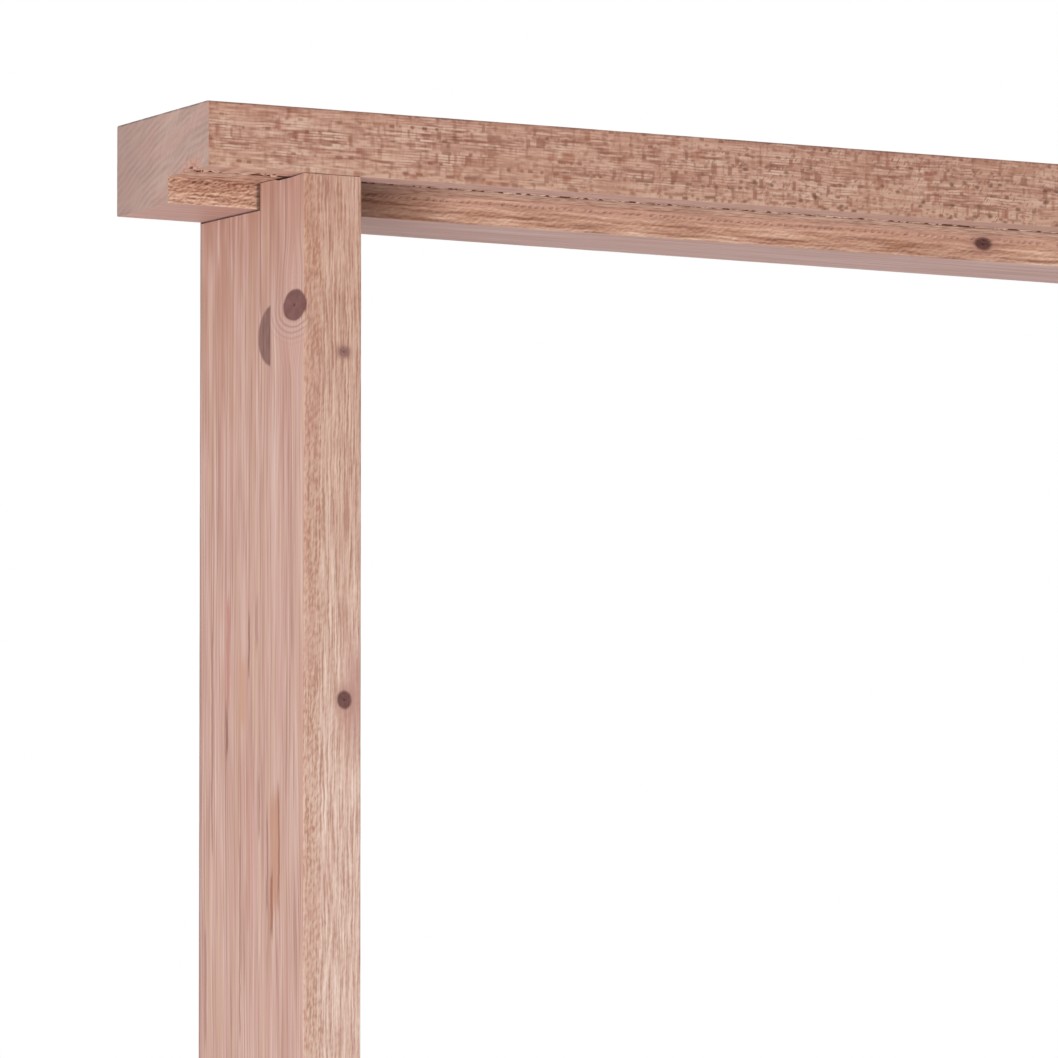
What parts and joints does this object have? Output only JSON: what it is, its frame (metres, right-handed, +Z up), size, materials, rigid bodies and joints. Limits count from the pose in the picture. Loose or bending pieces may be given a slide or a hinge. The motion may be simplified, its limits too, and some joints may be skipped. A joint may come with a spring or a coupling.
{
  "type": "wooden door frame",
  "caption": "Softwood door frame: a rebated and kerfed head with horns, wedged and tenoned onto matching jambs, with no sill.",
  "frame": {"origin": "on the floor, midway between the jambs and midway between the front and back faces", "axes": "+X along the head to the right seen from the front, +Y from the rebated front face to the back, +Z up"},
  "size_m": [1.003, 0.1, 2.02],
  "materials": {
    "planed_softwood": "unfinished planed pine",
    "wedge_wood": "split and sawn, unfinished"
  },
  "bodies": {
    "root": {"head": "planed_softwood", "left_jamb": "planed_softwood", "right_jamb": "planed_softwood", "left_outer_wedge": "wedge_wood", "left_inner_wedge": "wedge_wood", "right_outer_wedge": "wedge_wood", "right_inner_wedge": "wedge_wood"}
  },
  "joints": []
}
